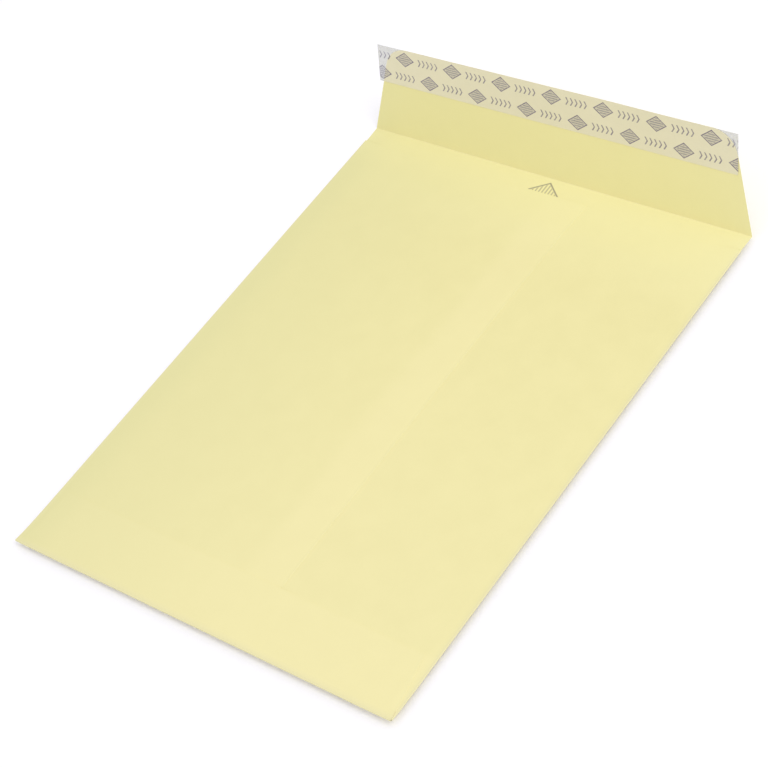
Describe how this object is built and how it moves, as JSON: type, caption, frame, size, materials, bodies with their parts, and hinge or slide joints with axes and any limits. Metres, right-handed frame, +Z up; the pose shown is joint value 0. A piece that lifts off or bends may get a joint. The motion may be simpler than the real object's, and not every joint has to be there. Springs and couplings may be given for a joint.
{
  "type": "paper envelope",
  "caption": "Empty pocket envelope of pale yellow paper, lying on its front, with its glued seam up and its peel-and-seal flap standing open.",
  "frame": {"origin": "on the table, under the middle of the whole envelope with its flap standing", "axes": "+Z up off the glued back, +Y along the envelope towards its mouth and flap, +X to the right"},
  "size_m": [0.254, 0.3488, 0.0523],
  "materials": {
    "envelope_paper": "smooth matte paper",
    "dried_glue": "matte",
    "flap_adhesive": "tacky, glossy",
    "silicone_liner": "translucent, satin"
  },
  "bodies": {
    "root": {"envelope_sheet": "envelope_paper", "seam_glue": "dried_glue", "bottom_flap_glue": "dried_glue", "adhesive_strip": "flap_adhesive", "release_liner": "silicone_liner"}
  },
  "joints": []
}
